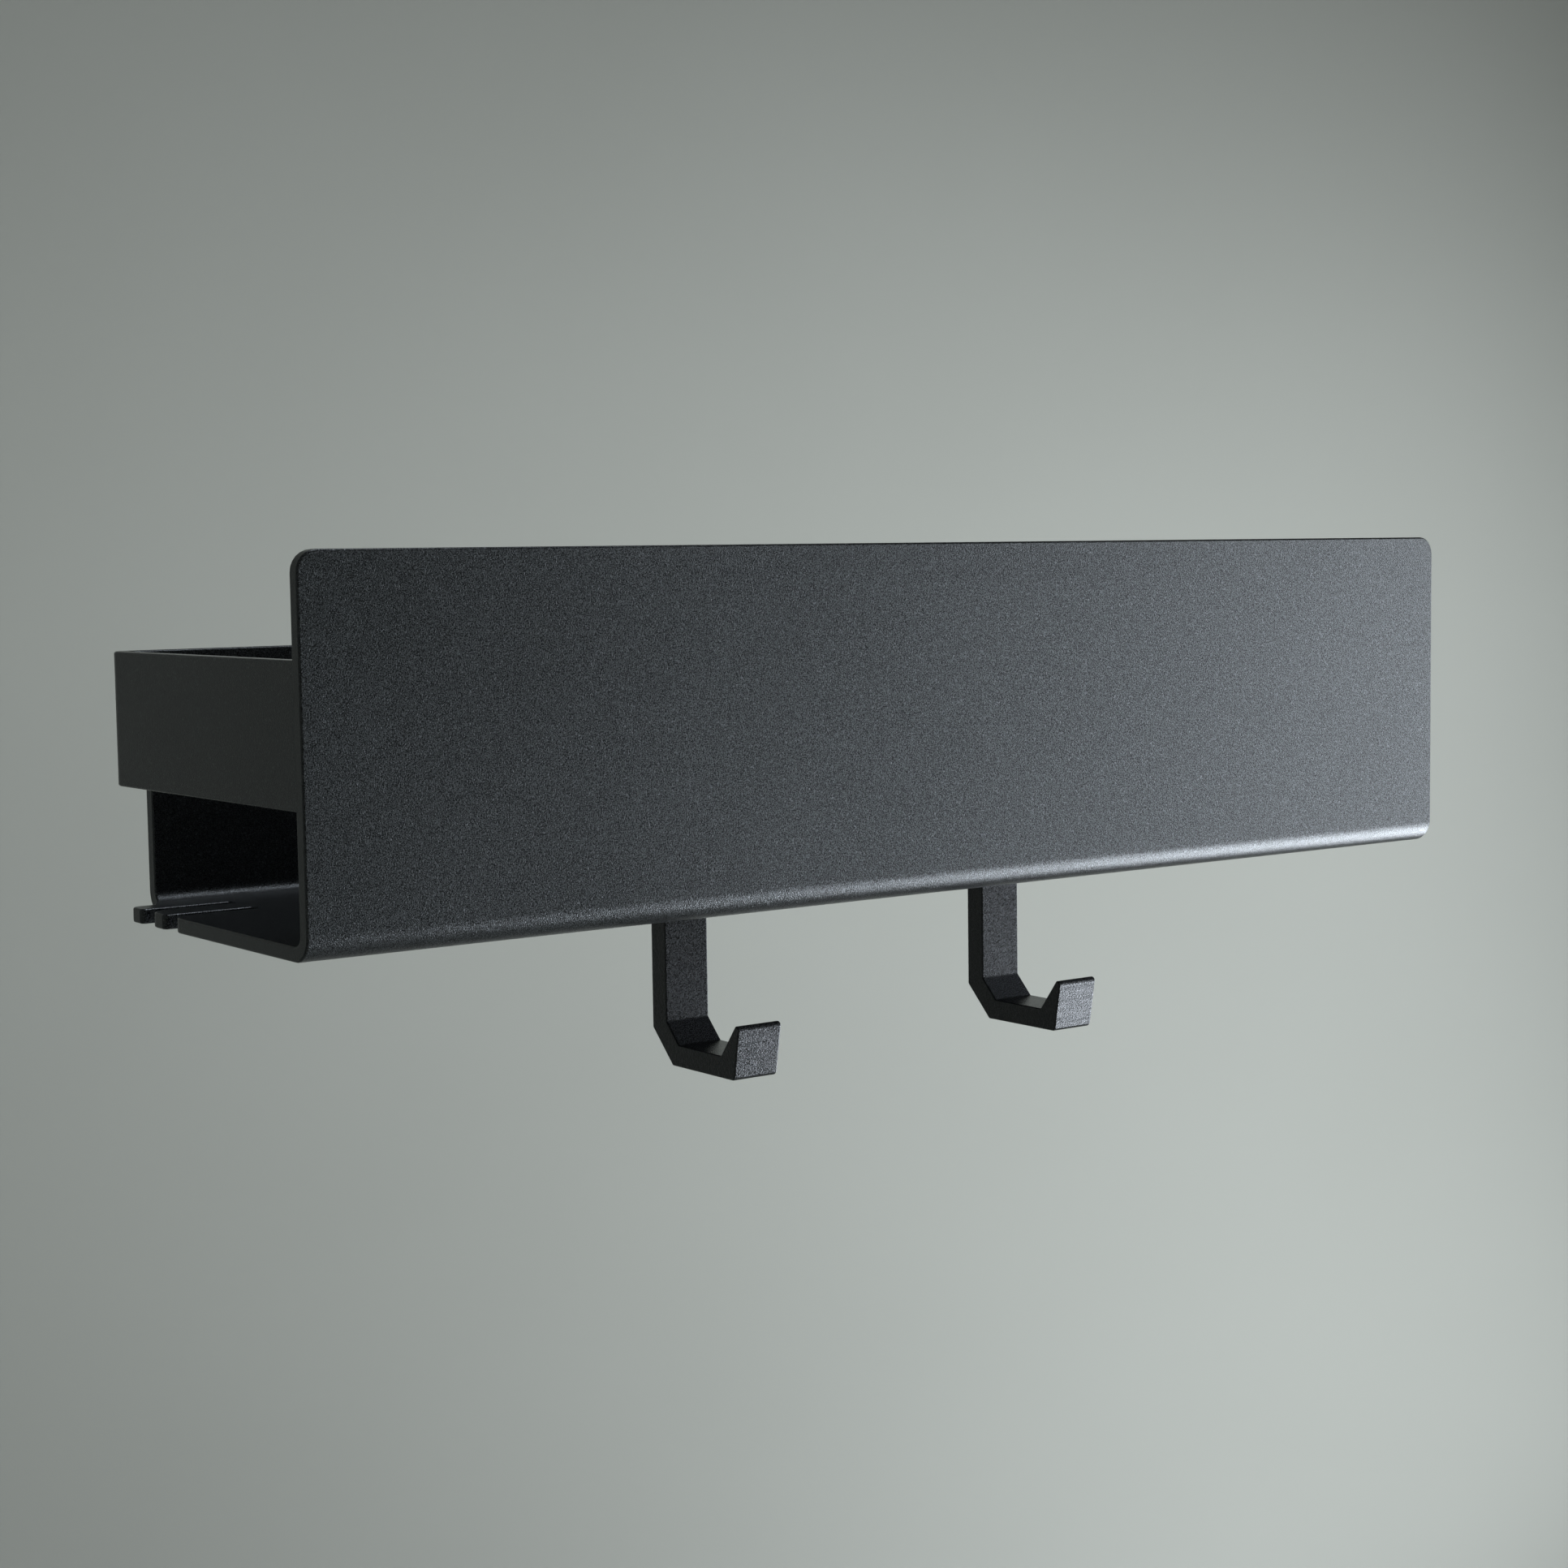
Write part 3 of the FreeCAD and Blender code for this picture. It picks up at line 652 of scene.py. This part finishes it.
# %% Shapes that are carried round
AROUND = 72
THREAD, PITCH, HEAD, SOCKET = 4.0, 0.7, 8.0, 2.5
WASHER_WIDTH, WASHER, NUT_FLATS, NUT, TAIL = 9.0, 0.8, 7.0, 3.2, 1.0
THREAD_DEPTH, CREASE = 0.34, math.radians(32)


def hexagon(flats, angle):
    """Distance from the centre of a hexagon to its side, for each angle."""
    return flats / 2 / np.cos((angle + np.pi / 6) % (np.pi / 3) - np.pi / 6)


def spin(profile, x, y, shape=None, wrap=False):
    """Carry a profile round the point x, y. shape may change the grid of radii."""
    around = circle(AROUND)
    angle = np.arange(AROUND) * (2 * np.pi / AROUND)
    points, normals, quads, number = carry(np.zeros((AROUND, 2)), around, profile, wrap)
    radius = np.repeat(profile[:, :1], AROUND, 1)
    if shape:
        radius = shape(radius, profile[:, 1:2], angle[None])
    flat = radius[..., None] * around[None]
    points[:, :2] = flat.reshape(-1, 2) + (x, y)
    return points, normals, quads, number


def close_poles(points, quads, number):
    """Turn the first and the last ring, which lie on the axis, into single points."""
    keep = np.arange(len(points))
    keep[number[0]] = number[0, 0]
    keep[number[-1]] = number[-1, 0]
    quads = keep[quads]
    start = quads[:, 0] == quads[:, 1]
    end = quads[:, 2] == quads[:, 3]
    triangles = np.concatenate([quads[start][:, [0, 2, 3]], quads[end][:, [0, 1, 2]]])
    used = np.unique(np.concatenate([quads.ravel(), triangles.ravel()]))
    return points[used], [np.searchsorted(used, quads[~start & ~end]),
                          np.searchsorted(used, triangles)]


print("a nut is", (2 * hexagon(NUT_FLATS, np.pi / 6)).round(2), "mm across its corners")

# %% Washers and nuts
def washer_shell(x, y):
    """A flat ring: a rectangle with soft corners, carried round the screw."""
    inner, outer = SCREW_HOLE, WASHER_WIDTH / 2
    low, high = -FOOT - WASHER, -FOOT
    profile = rounded([(inner, low, 0.12), (outer, low, 0.2), (outer, high, 0.2),
                       (inner, high, 0.12)], steps=4)
    points, normals, quads, number = spin(profile, x, y, wrap=True)
    return points, normals, [quads], np.zeros(len(points))


def nut_shell(x, y):
    """A ring carried round the screw, cut back to a hexagon: radius = the smaller of the
    profile's radius and the distance to the hexagon's side."""
    high = -FOOT - WASHER
    low = high - NUT
    corner, chamfer = NUT_FLATS / 2 / math.cos(math.pi / 6), 0.35
    bore, land = THREAD / 2 + 0.05, NUT_FLATS / 2 - 0.15
    cone = np.linspace(0, 1, 7)
    rise = np.stack([land + (corner - land) * cone, low + chamfer * cone], 1)
    fall = np.stack([rise[::-1, 0], low + high - rise[::-1, 1]], 1)
    mouth = [(bore + 0.3, low)]
    top = [(bore + 0.3, high), (bore, high - 0.3), (bore, low + 0.3)]
    flat = np.concatenate([mouth, rise, fall, top])
    profile = np.concatenate([flat, np.zeros_like(flat)], 1)

    def shape(radius, height, angle):
        """Cut the ring back to the hexagon's flats."""
        return np.minimum(radius, hexagon(NUT_FLATS, angle))

    points, normals, quads, number = spin(profile, x, y, shape, wrap=True)
    return points, normals, [quads], np.zeros(len(points))


print("a washer has", len(washer_shell(0, 0)[0]), "points, a nut", len(nut_shell(0, 0)[0]))

# %% Screws
def screw_shell(x, y):
    """Tip, thread, countersunk head and socket, carried round as one profile.

    The thread cuts into the shank by a wave of height / pitch - angle / full turn, and the
    socket's rows are scaled from a circle to a hexagon."""
    tip = -FOOT - WASHER - NUT - TAIL
    level = PLATE - 0.2
    neck = level - HEAD / 2 + THREAD / 2
    shank = np.linspace(tip + 0.35, neck, 110)
    rows = [(0, tip), (THREAD / 2 - 0.45, tip)]
    rows += [(THREAD / 2, height) for height in shank]
    rows += [(HEAD / 2 - 0.12, level - 0.12), (HEAD / 2, level - 0.06), (HEAD / 2 - 0.1, level)]
    socket_row = len(rows)
    rows += [(SOCKET / 2 + 0.12, level), (SOCKET / 2, level - 0.12), (SOCKET / 2, level - 1.35),
             (0, level - 1.75)]
    flat = np.array(rows)
    profile = np.concatenate([flat, np.zeros_like(flat)], 1)

    def shape(radius, height, angle):
        """Cut the thread into the shank and widen the socket's rows to a hexagon."""
        wave = abs((height / PITCH - angle / (2 * np.pi)) % 1 - 0.5) * 2
        threaded = (height > tip + 0.1) & (height < neck - 1.5) & (radius == THREAD / 2)
        cut = np.where(threaded, THREAD_DEPTH * np.clip(wave * 1.3 - 0.15, 0, 1), 0)
        index = np.arange(len(height))[:, None]
        hexed = (index >= socket_row) & (radius > 0)
        scale = hexagon(SOCKET, angle) / (SOCKET / 2)
        return np.where(hexed, radius * scale, radius - cut)

    points, normals, quads, number = spin(profile, x, y, shape)
    points, faces = close_poles(points, quads, number)
    return points, np.zeros_like(points), faces, np.zeros(len(points))


print("a screw has", len(screw_shell(0, 0)[0]), "points")

# %% Make every fastener
for hook, x in zip(("left_hook", "right_hook"), HOOK_CENTRES):
    for line, depth in zip(("front", "rear"), SCREW_DEPTHS):
        node = f"{hook}_{line}_screw"
        for ending, shell in (("", screw_shell), ("_washer", washer_shell), ("_nut", nut_shell)):
            make_piece("turned_" + node + ending, [shell(x, -depth)], steel,
                       [node + ending], creases=CREASE)

# %% [markdown]
# ## The studio
# The shelf hangs free in a wide pale bowl: a flat floor whose rim curves up into a round wall,
# so no edge or horizon shows from around or above. Only a steep look from below shows its open
# top. The bowl is one profile carried round a circle.

# %% Pale floor and round backdrop
BOWL_RADIUS, BOWL_TOP, FLOOR_LEVEL, COVE = 3000.0, 3200.0, -1150.0, 1100.0
profile = rounded([(0, FLOOR_LEVEL, 0), (BOWL_RADIUS, FLOOR_LEVEL, COVE),
                   (BOWL_RADIUS, BOWL_TOP, 0)], steps=24, closed=False)
points, normals, quads, number = carry(np.zeros((96, 2)), circle(96), profile)
mesh = bpy.data.meshes.new("pale_floor")
mesh.from_pydata((points * MM).tolist(), [], quads[:, ::-1].tolist())
mesh.polygons.foreach_set("use_smooth", np.ones(len(quads), bool))
floor = bpy.data.objects.new("pale_floor", mesh)
bpy.context.scene.collection.objects.link(floor)
material, tree, shader, where = new_material("pale_floor")
tone = add_node(tree, "ShaderNodeTexNoise", {"Vector": where, "Scale": 1.3, "Detail": 3.0})
pale = blend(tree, tone.outputs["Fac"], (0.395, 0.400, 0.360, 1), (0.435, 0.440, 0.400, 1))
tree.links.new(pale, shader.inputs["Base Color"])
shader.inputs["Roughness"].default_value = 0.9
mesh.materials.append(material)
print("floor level", FLOOR_LEVEL, "mm")


# %% [markdown]
# ## Light
# A large soft key stands to the right and in front, so the front panel goes from near black at
# its left end to grey at its right end. Two low panels draw the bright line along the lower
# bend and light the hooks' lips, and one overhead lights the floor of the tray. The washes
# shine on the bowl only, so that the ground round the shelf stays pale.

# %% Soft lights
def soft_light(name, place, aim, wide, high, power, spread=180, tint=(0.93, 0.99, 1.06)):
    """A rectangular light at a place, in metres, turned to shine at a point."""
    data = bpy.data.lights.new(name, "AREA")
    data.shape = "RECTANGLE"
    data.size, data.size_y, data.energy, data.spread = wide, high, power, math.radians(spread)
    data.color = tint
    light = bpy.data.objects.new(name, data)
    towards = Vector(aim) - Vector(place)
    light.rotation_euler = towards.to_track_quat("-Z", "Y").to_euler()
    light.location = place
    light.visible_camera = False
    bpy.context.scene.collection.objects.link(light)
    return light


AIM = (0.05, -0.08, 0.0)
soft_light("key_right", (2.05, -0.95, 0.0), AIM, 1.0, 0.9, 7.1, 100)
soft_light("low_right", (1.15, -0.37, -0.72), AIM, 0.8, 0.5, 6.4, 100)
soft_light("low_front", (1.45, -0.95, -0.70), AIM, 0.9, 0.6, 2.0, 100)
soft_light("overhead", (0.4, -0.3, 1.8), AIM, 1.2, 0.8, 3.3, 90)
soft_light("backdrop_wash", (1.7, 0.7, -0.2), (0.9, 2.9, -0.3), 1.2, 1.2, 25.5, 150)
soft_light("room_wash_front", (0.2, -0.9, 1.3), (0.6, -3.0, -0.4), 1.4, 1.0, 10, 140)
soft_light("room_wash_right", (0.8, -0.3, 1.5), (3.0, -0.5, -0.6), 1.4, 1.0, 6, 140)
soft_light("room_wash_left", (-0.9, -0.4, 1.5), (-3.0, -0.3, -0.4), 1.4, 1.0, 7, 140)
world = bpy.data.worlds.new("soft_sky")
world.use_nodes = True
background = world.node_tree.nodes["Background"]
background.inputs["Color"].default_value = (0.92, 0.97, 1.0, 1)
background.inputs["Strength"].default_value = 0.06
bpy.context.scene.world = world

# %% [markdown]
# ## Camera
# The camera stands low on the left and looks slightly down along the front. Its turn is built
# from three angles: a yaw about the vertical, a pitch and a small roll.

# %% Camera
CAMERA_PLACE = (-0.47906, -0.68436, 0.04017)
YAW, PITCH_DOWN, ROLL = -36.382, -4.827, 0.824
SENSOR, LENS = 36.0, 61.32


def turn_matrix(axis, degrees):
    """The matrix that turns about one axis by an angle in degrees."""
    return Matrix.Rotation(math.radians(degrees), 3, axis)


aim = turn_matrix("Z", YAW) @ turn_matrix("X", PITCH_DOWN) @ turn_matrix("Y", ROLL)
right_way, forward, up = (aim.col[index].copy() for index in range(3))
camera_data = bpy.data.cameras.new("camera")
camera_data.sensor_width, camera_data.lens = SENSOR, LENS
camera_data.clip_start, camera_data.clip_end = 0.01, 50.0
camera = bpy.data.objects.new("camera", camera_data)
turned = Matrix((right_way, up, -forward)).transposed().to_4x4()
camera.matrix_world = Matrix.Translation(CAMERA_PLACE) @ turned
bpy.context.scene.collection.objects.link(camera)
bpy.context.scene.camera = camera
bpy.context.scene.view_settings.view_transform = "Standard"
print("camera lens", round(camera_data.lens, 2), "mm")
